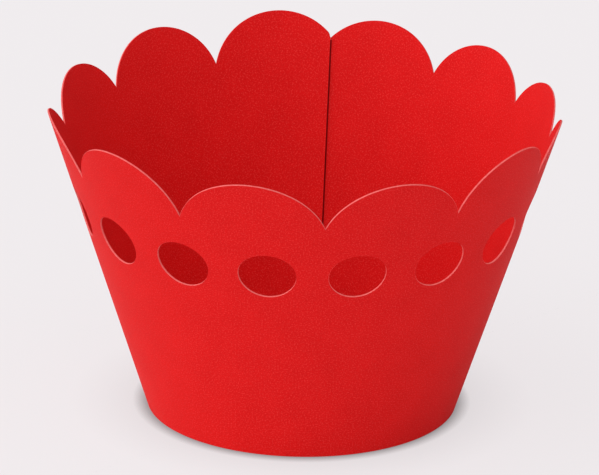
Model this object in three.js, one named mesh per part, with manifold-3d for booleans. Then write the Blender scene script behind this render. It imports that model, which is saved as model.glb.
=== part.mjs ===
import * as THREE from 'three';
import { mergeVertices } from 'three/addons/utils/BufferGeometryUtils.js';
import Module from 'manifold-3d';

// Cupcake wrapper: one strip of card, die-cut and rolled into a tapered sleeve that is open at both ends.
// Millimetres, +Z up. The sleeve stands on its lower edge, its row of holes faces -Y and its lap is at the back.
// An azimuth is counted from -Y towards +X, and a slant is measured up the wall from the lower edge.

// Card
const CARD_THICKNESS = 0.3;

// Tapered sleeve
const BASE_RADIUS = 25;
const WALL_LEAN_DEG = 18.1;

// Scalloped rim: each scallop is an arc between two sharp notches, all at one slant.
// The turn and the height of each are listed from the flap round to the inner end of the strip.
const NOTCH_SLANT = 46.7;
const FIRST_NOTCH_DEG = 177.7;
const SCALLOP_TURNS_DEG = [29.8, 27.7, 25.7, 24, 32.2, 33.2, 34.8, 33.8, 36.1, 28.7, 29.7, 31.1];
const SCALLOP_HEIGHTS = [7.1, 6.7, 6.1, 6.2, 8.6, 7.8, 8.2, 8.8, 6.7, 6.6, 7.6, 8.1];

// Row of holes across the front half
const HOLE_COUNT = 8;
const HOLE_TURN_DEG = 22.8;
const FIRST_HOLE_DEG = -77.3;
const HOLE_WIDTH = 9.4;
const HOLE_HEIGHT = 8.3;
const HOLE_SLANT = 36.9;

// Lap at the back: the inner ply ends at the seam, and the outer ply runs on behind it as a flap
const SEAM_AZIMUTH_DEG = 174.3;
const LAP_TURN_DEG = 14;
const GLUE_LINE = 0.1;
const GLUE_MARGIN_DEG = 2;
const GLUE_MARGIN = 2.5;

// Facets
const STEPS_PER_SCALLOP = 18;
const STEPS_ON_FLAP = 6;
const STEPS_ROUND_HOLE = 40;

const rad = THREE.MathUtils.degToRad;
const lean = rad(WALL_LEAN_DEG);
const seamAzimuth = rad(SEAM_AZIMUTH_DEG);
const fullTurn = 2 * Math.PI;

// Radius of the sleeve's outside at a slant.
function radiusAt(slant) {
  return BASE_RADIUS + slant * Math.sin(lean);
}

// How far the outside stands off the plain cone: the roll climbs by one card and one glue line in a turn.
function climbAt(azimuth) {
  return (CARD_THICKNESS + GLUE_LINE) * azimuth / fullTurn;
}

// A point of the wall. Offset is square to the wall and positive outwards.
function wallPoint(azimuth, slant, offset) {
  const radius = radiusAt(slant) + offset * Math.cos(lean);
  const height = slant * Math.cos(lean) - offset * Math.sin(lean);
  return new THREE.Vector3(radius * Math.sin(azimuth), -radius * Math.cos(azimuth), height);
}

// The slant at which a face of this offset meets the table, so that the lower edge is trimmed level.
function tableSlant(offset) {
  return offset * Math.tan(lean);
}

// Azimuths of the notches, from the flap round to the inner end of the strip.
function notchAzimuth(index) {
  const turnsBefore = SCALLOP_TURNS_DEG.slice(0, index);
  return rad(turnsBefore.reduce((azimuth, turn) => azimuth - turn, FIRST_NOTCH_DEG));
}

// The rim over one scallop, as azimuth and slant, from its low end or from the seam if that comes later.
function scallopRim(lowNotch, highNotch, height, startAzimuth) {
  const turn = highNotch - lowNotch;
  const radiusHere = radiusAt(NOTCH_SLANT + height / 2);
  const halfWidth = turn * radiusHere / 2;
  const arcRadius = (halfWidth * halfWidth + height * height) / (2 * height);
  const middle = (lowNotch + highNotch) / 2;
  const halfArc = Math.atan2(halfWidth, arcRadius - height);
  const cut = Math.max(startAzimuth - middle, -turn / 2) * radiusHere;
  const startArc = Math.max(-halfArc, Math.asin(cut / arcRadius));
  const rim = [];
  for (let step = 0; step < STEPS_PER_SCALLOP; step += 1) {
    const angle = THREE.MathUtils.lerp(startArc, halfArc, step / STEPS_PER_SCALLOP);
    rim.push({
      azimuth: middle + arcRadius * Math.sin(angle) / radiusHere,
      slant: NOTCH_SLANT + height - arcRadius * (1 - Math.cos(angle)),
    });
  }
  return rim;
}

// The whole upper edge of the strip, from the seam end of the inner ply to the end of the flap.
function stripRim() {
  const start = seamAzimuth - fullTurn;
  const flapEnd = seamAzimuth + rad(LAP_TURN_DEG);
  const rim = [];
  for (let index = SCALLOP_TURNS_DEG.length; index > 0; index -= 1) {
    const highNotch = notchAzimuth(index - 1);
    if (highNotch > start) {
      rim.push(...scallopRim(notchAzimuth(index), highNotch, SCALLOP_HEIGHTS[index - 1], start));
    }
  }
  const lastNotch = notchAzimuth(0);
  for (let step = 0; step <= STEPS_ON_FLAP; step += 1) {
    rim.push({
      azimuth: THREE.MathUtils.lerp(lastNotch, flapEnd, step / STEPS_ON_FLAP),
      slant: NOTCH_SLANT,
    });
  }
  return rim;
}

// A closed sheet: one column of four corners for each entry, joined to the next, with both ends capped.
function sheetGeometry(columns) {
  const positions = columns.flatMap((column) => column.flatMap((corner) => corner.toArray()));
  const indices = [];
  const quad = (a, b, c, d) => indices.push(a, b, c, a, c, d);
  for (let i = 0; i + 1 < columns.length; i += 1) {
    const here = 4 * i;
    const next = here + 4;
    for (let side = 0; side < 4; side += 1) {
      const other = (side + 1) % 4;
      quad(here + side, next + side, next + other, here + other);
    }
  }
  const last = 4 * (columns.length - 1);
  quad(0, 1, 2, 3);
  quad(last + 3, last + 2, last + 1, last);
  const geometry = new THREE.BufferGeometry();
  geometry.setAttribute('position', new THREE.Float32BufferAttribute(positions, 3));
  geometry.setIndex(indices);
  return geometry;
}

// The strip, rolled: both faces of the card, trimmed level at the table and cut square at the rim.
function rolledStrip() {
  const columns = stripRim().map(({ azimuth, slant }) => {
    const outside = climbAt(azimuth);
    const inside = outside - CARD_THICKNESS;
    return [
      wallPoint(azimuth, tableSlant(outside), outside),
      wallPoint(azimuth, slant, outside),
      wallPoint(azimuth, slant, inside),
      wallPoint(azimuth, tableSlant(inside), inside),
    ];
  });
  return sheetGeometry(columns);
}

// The glue between the two plies of the lap. It reaches a third of the way into each ply.
function glueStrip() {
  const grip = CARD_THICKNESS / 3;
  const start = seamAzimuth + rad(GLUE_MARGIN_DEG);
  const end = seamAzimuth + rad(LAP_TURN_DEG - GLUE_MARGIN_DEG);
  const columns = [];
  for (let step = 0; step <= STEPS_ON_FLAP; step += 1) {
    const azimuth = THREE.MathUtils.lerp(start, end, step / STEPS_ON_FLAP);
    const outside = climbAt(azimuth) - CARD_THICKNESS + grip;
    const inside = climbAt(azimuth - fullTurn) - grip;
    columns.push([
      wallPoint(azimuth, GLUE_MARGIN, outside),
      wallPoint(azimuth, NOTCH_SLANT - GLUE_MARGIN, outside),
      wallPoint(azimuth, NOTCH_SLANT - GLUE_MARGIN, inside),
      wallPoint(azimuth, GLUE_MARGIN, inside),
    ]);
  }
  return sheetGeometry(columns);
}

// A punch for one hole: an upright oval, standing square to the wall.
function holePunch(azimuth) {
  const punch = new THREE.CylinderGeometry(1, 1, HOLE_WIDTH, STEPS_ROUND_HOLE);
  punch.scale(HOLE_WIDTH / 2, 1, HOLE_HEIGHT / 2);
  const outwards = wallPoint(azimuth, HOLE_SLANT, 1).sub(wallPoint(azimuth, HOLE_SLANT, 0));
  const upwards = wallPoint(azimuth, HOLE_SLANT + 1, 0).sub(wallPoint(azimuth, HOLE_SLANT, 0));
  const sideways = new THREE.Vector3().crossVectors(outwards, upwards);
  const placing = new THREE.Matrix4().makeBasis(sideways, outwards, upwards);
  placing.setPosition(wallPoint(azimuth, HOLE_SLANT, 0));
  punch.applyMatrix4(placing);
  return punch;
}

const wasm = await Module();
wasm.setup();

function toSolid(geometry) {
  const bare = geometry.clone();
  bare.deleteAttribute('normal');
  bare.deleteAttribute('uv');
  const merged = mergeVertices(bare, 1e-5);
  return new wasm.Manifold(new wasm.Mesh({
    numProp: 3,
    vertProperties: new Float32Array(merged.attributes.position.array),
    triVerts: new Uint32Array(merged.index.array),
  }));
}

function toGeometry(solid) {
  const mesh = solid.getMesh();
  const geometry = new THREE.BufferGeometry();
  geometry.setAttribute('position', new THREE.BufferAttribute(new Float32Array(mesh.vertProperties), 3));
  geometry.setIndex(new THREE.BufferAttribute(new Uint32Array(mesh.triVerts), 1));
  return geometry;
}

let sleeve = toSolid(rolledStrip()).add(toSolid(glueStrip()));
for (let index = 0; index < HOLE_COUNT; index += 1) {
  const azimuth = rad(FIRST_HOLE_DEG + index * HOLE_TURN_DEG);
  sleeve = sleeve.subtract(toSolid(holePunch(azimuth)));
}

// The sleeve is centred over the origin, which lies on the table.
const geometry = toGeometry(sleeve);
geometry.computeVertexNormals();
geometry.computeBoundingBox();
const centre = geometry.boundingBox.getCenter(new THREE.Vector3());
geometry.translate(-centre.x, -centre.y, 0);

const redCard = new THREE.MeshStandardMaterial({ color: '#d8262a', roughness: 0.7, metalness: 0 });
const wrapper = new THREE.Mesh(geometry, redCard);
wrapper.name = 'card_sleeve';

const group = new THREE.Group();
group.name = 'cupcake_wrapper';
group.add(wrapper);

export default group;
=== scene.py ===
import math

import bmesh
import bpy
from mathutils import Matrix, Vector


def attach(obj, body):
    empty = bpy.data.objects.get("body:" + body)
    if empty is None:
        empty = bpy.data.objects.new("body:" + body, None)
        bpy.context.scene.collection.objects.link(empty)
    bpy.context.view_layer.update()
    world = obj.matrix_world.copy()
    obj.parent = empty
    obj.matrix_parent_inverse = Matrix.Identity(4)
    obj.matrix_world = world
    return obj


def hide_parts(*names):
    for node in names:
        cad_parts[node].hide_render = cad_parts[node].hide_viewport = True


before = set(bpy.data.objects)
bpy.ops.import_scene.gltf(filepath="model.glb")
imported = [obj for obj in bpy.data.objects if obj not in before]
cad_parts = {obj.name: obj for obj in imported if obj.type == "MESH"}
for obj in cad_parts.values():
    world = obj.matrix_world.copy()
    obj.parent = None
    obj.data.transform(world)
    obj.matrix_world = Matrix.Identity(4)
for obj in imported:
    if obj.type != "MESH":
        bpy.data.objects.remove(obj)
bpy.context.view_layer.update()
scene = bpy.context.scene
scene.view_settings.view_transform = 'Standard'


# The sleeve
# One strip of red card, die-cut flat with a scalloped upper edge and a row of oval holes, then
# rolled into a tapered sleeve. Its left end laps over its right end inside the back and is glued.
# Lengths are in millimetres, and a slant is measured up the wall from the table.
MM = 0.001
CARD = 0.3
GLUE_LINE = 0.1
BASE_RADIUS = 25.0
WALL_LEAN = math.radians(18.1)
NOTCH_SLANT = 46.7
FIRST_NOTCH_DEG = 177.7
SCALLOP_TURNS_DEG = (29.8, 27.7, 25.7, 24, 32.2, 33.2, 34.8, 33.8, 36.1, 28.7, 29.7, 31.1)
SCALLOP_HEIGHTS = (7.1, 6.7, 6.1, 6.2, 8.6, 7.8, 8.2, 8.8, 6.7, 6.6, 7.6, 8.1)
HOLES = 8
HOLE_TURN = math.radians(22.8)
FIRST_HOLE = math.radians(-77.3)
HOLE_WIDTH = 9.4
HOLE_HEIGHT = 8.3
HOLE_SLANT = 36.9
SEAM = math.radians(174.3)
LAP_TURN = math.radians(14)

SCALLOP_STEPS = 48
FLAP_STEPS = 14
CORNER_STEPS = 6
CORNER_WIDTH = 0.5
CORNER_HEIGHT = 0.9
ROWS_BELOW_HOLES = 20
ROWS_AT_HOLES = 27
ROWS_ABOVE_HOLES = 9
HOLE_BAND = (32.4, 42.0)
FOOT_BAND = 0.5
EDGE_ROUNDING = 0.04
SHARP_TURN = math.radians(20)


def notch(index):
    """Azimuth of a notch. They are counted from the flap round to the inner end of the strip."""
    return math.radians(FIRST_NOTCH_DEG - sum(SCALLOP_TURNS_DEG[:index]))


def radius_at(slant):
    return BASE_RADIUS + slant * math.sin(WALL_LEAN)


def wall_point(azimuth, slant, offset):
    """A point of the rolled card, with offset counted square to its outer face."""
    radius = radius_at(slant) + offset * math.cos(WALL_LEAN)
    height = slant * math.cos(WALL_LEAN) - offset * math.sin(WALL_LEAN)
    return Vector((radius * math.sin(azimuth), -radius * math.cos(azimuth), height)) * MM


def wall_normal(azimuth):
    out = Vector((math.sin(azimuth), -math.cos(azimuth), 0))
    return out * math.cos(WALL_LEAN) - Vector((0, 0, math.sin(WALL_LEAN)))


def rim_columns():
    """Azimuth and rim slant of each column of the strip, from the inner end round to the flap."""
    start = SEAM - 2 * math.pi
    columns = []
    for index in range(len(SCALLOP_TURNS_DEG), 0, -1):
        low, high = notch(index), notch(index - 1)
        height = SCALLOP_HEIGHTS[index - 1]
        radius = radius_at(NOTCH_SLANT + height / 2)
        half = (high - low) * radius / 2
        arc = (half ** 2 + height ** 2) / (2 * height)
        half_arc = math.atan2(half, arc - height)
        middle = (low + high) / 2
        first = max(-half_arc, math.asin(max(-half, (start - middle) * radius) / arc))
        angles = [first + (half_arc - first) * step / SCALLOP_STEPS for step in range(SCALLOP_STEPS)]
        if not columns:
            corner = CORNER_WIDTH / arc
            fine_angles = [first + corner * step / CORNER_STEPS for step in range(CORNER_STEPS)]
            angles = fine_angles + [angle for angle in angles if angle >= first + corner]
        for angle in angles:
            slant = NOTCH_SLANT + height - arc * (1 - math.cos(angle))
            columns.append((middle + arc * math.sin(angle) / radius, slant))
    for step in range(FLAP_STEPS + 1):
        part = step / FLAP_STEPS
        columns.append((notch(0) + (SEAM + LAP_TURN - notch(0)) * part, NOTCH_SLANT))
    return columns


def row_slant(row, rim):
    """Rows are level up to the top of the holes, and follow the scallops above them."""
    low, high = HOLE_BAND
    if row <= ROWS_BELOW_HOLES:
        return low * row / ROWS_BELOW_HOLES
    row -= ROWS_BELOW_HOLES
    if row <= ROWS_AT_HOLES:
        return low + (high - low) * row / ROWS_AT_HOLES
    return high + (rim - high) * (row - ROWS_AT_HOLES) / ROWS_ABOVE_HOLES


# The free corner at the inner end is rounded off.
columns = rim_columns()
for number in range(CORNER_STEPS):
    azimuth, slant = columns[number]
    inwards = 1 - number / CORNER_STEPS
    columns[number] = (azimuth, slant - CORNER_HEIGHT * (1 - math.sqrt(1 - inwards ** 2)))
column_count = len(columns) - 1
row_count = ROWS_BELOW_HOLES + ROWS_AT_HOLES + ROWS_ABOVE_HOLES

# The flat blank is a grid in azimuth and slant. The holes are punched in it before it is rolled.
bm = bmesh.new()
bmesh.ops.create_grid(bm, x_segments=column_count, y_segments=row_count, size=0.5)
free_end = bm.verts.layers.int.new("free_end")
for vert in bm.verts:
    number = round((vert.co.x + 0.5) * column_count)
    azimuth, rim = columns[number]
    vert.co = (azimuth, row_slant(round((vert.co.y + 0.5) * row_count), rim), 0)
    vert[free_end] = number == 0

hole_radius = radius_at(HOLE_SLANT)


def hole_distance(point, centre):
    """How far out a point of the blank is from a hole's centre: 1 on the hole's edge."""
    across = (point.x - centre) * hole_radius / (HOLE_WIDTH / 2)
    up = (point.y - HOLE_SLANT) / (HOLE_HEIGHT / 2)
    return math.hypot(across, up), across, up


for index in range(HOLES):
    centre = FIRST_HOLE + index * HOLE_TURN
    punched = [f for f in bm.faces if hole_distance(f.calc_center_median(), centre)[0] < 1]
    edge_verts = {v for f in punched for v in f.verts if any(g not in punched for g in v.link_faces)}
    bmesh.ops.delete(bm, geom=punched, context='FACES')
    for vert in edge_verts:
        distance, across, up = hole_distance(vert.co, centre)
        vert.co.x = centre + across / distance * (HOLE_WIDTH / 2) / hole_radius
        vert.co.y = HOLE_SLANT + up / distance * (HOLE_HEIGHT / 2)

# The blank keeps its own flat coordinates in millimetres, so that the card's grain runs along it.
flat_map = bm.loops.layers.uv.new("card_mm")
apex = BASE_RADIUS / math.sin(WALL_LEAN)
for face in bm.faces:
    for loop in face.loops:
        turn = loop.vert.co.x * math.sin(WALL_LEAN)
        reach = apex + loop.vert.co.y
        loop[flat_map].uv = (reach * math.sin(turn), reach * math.cos(turn))

# Rolling: the strip climbs outwards by one card and one glue line in a turn.
for vert in bm.verts:
    azimuth, slant = vert.co.x, vert.co.y
    climb = (CARD + GLUE_LINE) * azimuth / (2 * math.pi)
    vert.co = wall_point(azimuth, slant, climb)
bm.normal_update()
wall_faces = list(bm.faces)
if wall_faces[0].normal.dot(wall_faces[0].calc_center_median()) < 0:
    bmesh.ops.reverse_faces(bm, faces=wall_faces)
    bm.normal_update()

# Solidify lists a few of its faces in another order from run to run. The shape is the same.
bmesh.ops.solidify(bm, geom=bm.faces[:], thickness=CARD * MM)

# The inner end is pasted down: its cut face slopes to the outer ply, and that slope is painted dark as a
# thin shadow line along the seam.
# Its outer-side points, marked 2, move on over the width of the slope and most of the way to the outer
# ply.
SHADED_SLOPE_WIDTH = 0.22
SINKING = 0.8 * GLUE_LINE
inner_climb = columns[0][0] * (CARD + GLUE_LINE) / (2 * math.pi)
for vert in bm.verts:
    if not vert[free_end]:
        continue
    radius, height = math.hypot(vert.co.x, vert.co.y) / MM, vert.co.z / MM
    offset = (radius - BASE_RADIUS) * math.cos(WALL_LEAN) - height * math.sin(WALL_LEAN)
    if offset > inner_climb - CARD / 2:
        slant = (radius - BASE_RADIUS) * math.sin(WALL_LEAN) + height * math.cos(WALL_LEAN)
        vert.co = wall_point(columns[0][0] - SHADED_SLOPE_WIDTH / radius, slant, offset + SINKING)
        vert[free_end] = 2

# The lower edge is trimmed level at the table.
for vert in bm.verts:
    if vert.co.z < FOOT_BAND * MM:
        out = Vector((vert.co.x, vert.co.y, 0)).normalized()
        vert.co -= out * vert.co.z * math.tan(WALL_LEAN)
        vert.co.z = 0
bm.normal_update()

# The walls keep the card's own finish. Faces that stand square to them are the cut edge, painted paler
# partly as a highlight.
CARD_FACE, CUT_EDGE_HIGHLIGHT, SEAM_SHADOW = 0, 1, 2
for face in bm.faces:
    middle = face.calc_center_median()
    square_out = wall_normal(math.atan2(middle.x, -middle.y))
    face.material_index = CUT_EDGE_HIGHLIGHT if abs(face.normal.dot(square_out)) < 0.5 else CARD_FACE
    # The sloped cut face at the pasted end is painted dark as the seam's shadow.
    if all(vert[free_end] for vert in face.verts):
        face.material_index = SEAM_SHADOW
corners = [e for e in bm.edges if {f.material_index for f in e.link_faces} == {CARD_FACE, CUT_EDGE_HIGHLIGHT}]
bmesh.ops.bevel(bm, geom=corners, offset=EDGE_ROUNDING * MM, offset_type='OFFSET', segments=1,
                profile=0.5, affect='EDGES', material=-1)
for face in bm.faces:
    face.smooth = True
for edge in bm.edges:
    edge.smooth = edge.calc_face_angle(0) < SHARP_TURN

# The sleeve's box is centred over the origin, as the part's is.
reach = [[v.co[axis] for v in bm.verts] for axis in (0, 1)]
to_centre = [-(min(side) + max(side)) / 2 for side in reach]
axis_place = Vector((to_centre[0], to_centre[1], 0))
bmesh.ops.translate(bm, verts=bm.verts[:], vec=axis_place)

mesh = bpy.data.meshes.new("rolled_card")
bm.to_mesh(mesh)
bm.free()
sleeve = bpy.data.objects.new("rolled_card", mesh)
scene.collection.objects.link(sleeve)
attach(sleeve, "root")
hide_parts("card_sleeve")


def linear(hex_colour):
    """An sRGB hex colour as linear RGBA."""
    parts = [int(hex_colour[i:i + 2], 16) / 255 for i in (1, 3, 5)]
    return [c / 12.92 if c <= 0.04045 else ((c + 0.055) / 1.055) ** 2.4 for c in parts] + [1]


def add_node(tree, kind, settings=None, **inputs):
    """Adds a node. Inputs go by name, or as i0, i1 and so on. Outputs are linked, other values set."""
    node = tree.nodes.new(kind)
    for name, value in (settings or {}).items():
        setattr(node, name, value)
    for name, value in inputs.items():
        socket = node.inputs[int(name[1:])] if name[0] == "i" and name[1:].isdigit() else None
        if socket is None:
            socket = node.inputs[name.replace("_", " ")]
        if isinstance(value, bpy.types.NodeSocket):
            tree.links.new(value, socket)
        else:
            socket.default_value = value
    return node


# Card dyed through its whole thickness, uncoated and calendered: matt, with a soft fibre mottle.
# The fibre is drawn 0.14 mm wide, as coarse as it needs to be to show, and runs across the flat blank.
# The pulp lies in clouds of about 6 mm, and short pale hairs give the red a slight bloom.
FIBRE_MM = 0.14
CLOUD_MM = 6.0
HAIR_MM = 0.12
CLOUD_SHARE = 0.6
FIBRE_RELIEF = 0.7
RELIEF_MM = 0.03
card = bpy.data.materials.new("dyed_card_uncoated")
card.use_nodes = True
tree = card.node_tree
tree.nodes.clear()
place = add_node(tree, 'ShaderNodeUVMap', {"uv_map": "card_mm"})
along_grain = add_node(tree, 'ShaderNodeMapping', Vector=place.outputs[0], Scale=(0.6, 1, 1))
fibre = add_node(tree, 'ShaderNodeTexNoise', {"noise_dimensions": '2D'}, Vector=along_grain.outputs[0],
                 Scale=1 / (2 * FIBRE_MM), Detail=3.0, Roughness=0.6)
cloud = add_node(tree, 'ShaderNodeTexNoise', {"noise_dimensions": '2D'}, Vector=place.outputs[0],
                 Scale=1 / CLOUD_MM, Detail=3.0, Roughness=0.55)
hair = add_node(tree, 'ShaderNodeTexNoise', {"noise_dimensions": '2D'}, Vector=place.outputs[0],
                Scale=1 / (2 * HAIR_MM), Detail=2.0, Roughness=0.6)
mottle = add_node(tree, 'ShaderNodeMath', {"operation": 'MULTIPLY_ADD'}, i0=cloud.outputs[0],
                  i1=CLOUD_SHARE, i2=fibre.outputs[0])
tone = add_node(tree, 'ShaderNodeMapRange', Value=mottle.outputs[0], From_Min=0.50, From_Max=1.10)
colour = add_node(tree, 'ShaderNodeMix', {"data_type": 'RGBA'}, Factor=tone.outputs[0],
                  A=linear("#ce0d0e"), B=linear("#d91314"))
hairs = add_node(tree, 'ShaderNodeMapRange', Value=hair.outputs[0], From_Min=0.50, From_Max=0.78,
                 To_Max=0.34)
flecked = add_node(tree, 'ShaderNodeMix', {"data_type": 'RGBA'}, Factor=hairs.outputs[0],
                   A=colour.outputs["Result"], B=linear("#ef5a58"))
height = add_node(tree, 'ShaderNodeMath', {"operation": 'MULTIPLY_ADD'}, i0=fibre.outputs[0],
                  i1=FIBRE_RELIEF, i2=cloud.outputs[0])
bump = add_node(tree, 'ShaderNodeBump', Strength=0.5, Distance=RELIEF_MM * MM, Height=height.outputs[0])
shine = add_node(tree, 'ShaderNodeMapRange', Value=fibre.outputs[0], From_Min=0.3, From_Max=0.7,
                 To_Min=0.62, To_Max=0.76)
surface = add_node(tree, 'ShaderNodeBsdfPrincipled', Base_Color=flecked.outputs["Result"],
                   Roughness=shine.outputs[0], Normal=bump.outputs[0], IOR=1.45, Specular_IOR_Level=0.10,
                   Sheen_Weight=0.008, Sheen_Roughness=0.5, Sheen_Tint=linear("#ffd8d4"))
add_node(tree, 'ShaderNodeOutputMaterial', Surface=surface.outputs[0])

# The cut edge of the same card, paler than its face: partly loose pale fibre left by the knife, partly a
# painted highlight, so it reads as a thin light line.
FLUFF_MM = 0.4
cut_edge_highlight = bpy.data.materials.new("card_cut_edge_painted_highlight")
cut_edge_highlight.use_nodes = True
tree = cut_edge_highlight.node_tree
tree.nodes.clear()
place = add_node(tree, 'ShaderNodeTexCoord')
fluff = add_node(tree, 'ShaderNodeTexNoise', Vector=place.outputs["Object"], Scale=1 / (FLUFF_MM * MM),
                 Detail=2.0)
colour = add_node(tree, 'ShaderNodeMix', {"data_type": 'RGBA'}, Factor=fluff.outputs[0],
                  A=linear("#d33131"), B=linear("#ea7a77"))
bump = add_node(tree, 'ShaderNodeBump', Strength=0.5, Distance=RELIEF_MM * MM, Height=fluff.outputs[0])
surface = add_node(tree, 'ShaderNodeBsdfPrincipled', Base_Color=colour.outputs["Result"], Roughness=0.85,
                   Normal=bump.outputs[0], IOR=1.45)
add_node(tree, 'ShaderNodeOutputMaterial', Surface=surface.outputs[0])

# The same card on the sloped face at the pasted end: painted darker as the seam's shadow, and a little
# shinier.
SHADOW_MOTTLE_MM = 1.5
seam_shadow_card = bpy.data.materials.new("card_end_painted_seam_shadow")
seam_shadow_card.use_nodes = True
tree = seam_shadow_card.node_tree
tree.nodes.clear()
place = add_node(tree, 'ShaderNodeTexCoord')
shadow_mottle = add_node(tree, 'ShaderNodeTexNoise', Vector=place.outputs["Object"], Scale=1 / (SHADOW_MOTTLE_MM * MM),
                Detail=2.0)
colour = add_node(tree, 'ShaderNodeMix', {"data_type": 'RGBA'}, Factor=shadow_mottle.outputs[0],
                  A=linear("#5f0507"), B=linear("#8a0c0f"))
surface = add_node(tree, 'ShaderNodeBsdfPrincipled', Base_Color=colour.outputs["Result"], Roughness=0.5,
                   IOR=1.45, Specular_IOR_Level=0.2)
add_node(tree, 'ShaderNodeOutputMaterial', Surface=surface.outputs[0])
for finish in (card, cut_edge_highlight, seam_shadow_card):
    mesh.materials.append(finish)


# The floor
# A plain pale sheet, wide enough to fill the view from every side. It only takes the soft shadow.
# To the camera it is mostly an even sheet with a painted shadow: darker under the foot and faintly so
# for 12 mm round it.
FLOOR_HALF_WIDTH_M = 6.0
CONTACT_MM = 2.3
CONTACT_POWER = 0.9
NEARBY_MM = 12
NEARBY_POWER = 0.14
EVEN_SHARE = 0.88
bm = bmesh.new()
bmesh.ops.create_grid(bm, x_segments=1, y_segments=1, size=FLOOR_HALF_WIDTH_M)
floor_mesh = bpy.data.meshes.new("floor")
bm.to_mesh(floor_mesh)
bm.free()
floor = bpy.data.objects.new("floor", floor_mesh)
scene.collection.objects.link(floor)
paper = bpy.data.materials.new("matt_white_paper")
paper.use_nodes = True
tree = paper.node_tree
tree.nodes.clear()
matt = add_node(tree, 'ShaderNodeBsdfDiffuse', Color=linear("#ebe7e8"))
# Painted shadow: occlusion near the sleeve darkens what the camera sees of the floor.
contact = add_node(tree, 'ShaderNodeAmbientOcclusion', Distance=CONTACT_MM * MM)
deep = add_node(tree, 'ShaderNodeMath', {"operation": 'POWER'}, i0=contact.outputs["AO"],
                i1=CONTACT_POWER)
around = add_node(tree, 'ShaderNodeAmbientOcclusion', Distance=NEARBY_MM * MM)
faint = add_node(tree, 'ShaderNodeMath', {"operation": 'POWER'}, i0=around.outputs["AO"],
                 i1=NEARBY_POWER)
shade = add_node(tree, 'ShaderNodeMath', {"operation": 'MULTIPLY'}, i0=deep.outputs[0],
                 i1=faint.outputs[0])
paper_with_painted_shadow = add_node(tree, 'ShaderNodeEmission', Color=linear("#f0ecee"), Strength=shade.outputs[0])
rays = add_node(tree, 'ShaderNodeLightPath')
seen = add_node(tree, 'ShaderNodeMath', {"operation": 'MULTIPLY'}, i0=rays.outputs["Is Camera Ray"],
                i1=EVEN_SHARE)
surface = add_node(tree, 'ShaderNodeMixShader', i0=seen.outputs[0], i1=matt.outputs[0],
                   i2=paper_with_painted_shadow.outputs[0])
add_node(tree, 'ShaderNodeOutputMaterial', Surface=surface.outputs[0])
floor_mesh.materials.append(paper)


# Light
# A bright room all round, brightest at the upper left in front, as from a wide window there. A pale
# screen stands low at the right and fills that side.
world = bpy.data.worlds.new("bright_room")
scene.world = world
world.use_nodes = True
tree = world.node_tree
tree.nodes.clear()
toward = add_node(tree, 'ShaderNodeTexCoord')
window = Vector((-0.82, -0.35, 0.58)).normalized()
facing = add_node(tree, 'ShaderNodeVectorMath', {"operation": 'DOT_PRODUCT'},
                  i0=toward.outputs["Generated"], i1=window)
level = add_node(tree, 'ShaderNodeMapRange', {"interpolation_type": 'SMOOTHSTEP'},
                 Value=facing.outputs["Value"], From_Min=-0.1, From_Max=1.0, To_Min=0.35, To_Max=1.86)
screen = Vector((0.93, -0.27, -0.25)).normalized()
facing = add_node(tree, 'ShaderNodeVectorMath', {"operation": 'DOT_PRODUCT'},
                  i0=toward.outputs["Generated"], i1=screen)
fill = add_node(tree, 'ShaderNodeMapRange', {"interpolation_type": 'SMOOTHSTEP'},
                Value=facing.outputs["Value"], From_Min=0.5, From_Max=1.0, To_Min=0.0, To_Max=0.85)
both = add_node(tree, 'ShaderNodeMath', {"operation": 'ADD'}, i0=level.outputs[0], i1=fill.outputs[0])
background = add_node(tree, 'ShaderNodeBackground', Color=(1, 1, 1, 1), Strength=both.outputs[0])
add_node(tree, 'ShaderNodeOutputWorld', Surface=background.outputs[0])


# The view
# A long lens at the photograph's height and distance, tipped down at the sleeve.
PICTURE_WIDTH = 599
FOCAL_PIXELS = 10691.9
SENSOR_MM = 36.0
CAMERA_BACK = 1612.58
CAMERA_UP = 640.82
PITCH = math.radians(20.8056)
YAW = math.radians(-0.0209)
ROLL = math.radians(0.8065)
camera_data = bpy.data.cameras.new("camera")
camera_data.sensor_width = SENSOR_MM
camera_data.lens = SENSOR_MM * FOCAL_PIXELS / PICTURE_WIDTH
camera_data.clip_end = 100.0
camera = bpy.data.objects.new("camera", camera_data)
scene.collection.objects.link(camera)
ahead = Vector((math.sin(YAW) * math.cos(PITCH), math.cos(YAW) * math.cos(PITCH), -math.sin(PITCH)))
right = Vector((math.cos(YAW), -math.sin(YAW), 0))
up = right.cross(ahead)
rolled_right = right * math.cos(ROLL) + up * math.sin(ROLL)
rolled_up = up * math.cos(ROLL) - right * math.sin(ROLL)
turned = Matrix((rolled_right, rolled_up, -ahead)).transposed()
camera_place = axis_place + Vector((0, -CAMERA_BACK, CAMERA_UP)) * MM
camera.matrix_world = Matrix.Translation(camera_place) @ turned.to_4x4()
scene.camera = camera
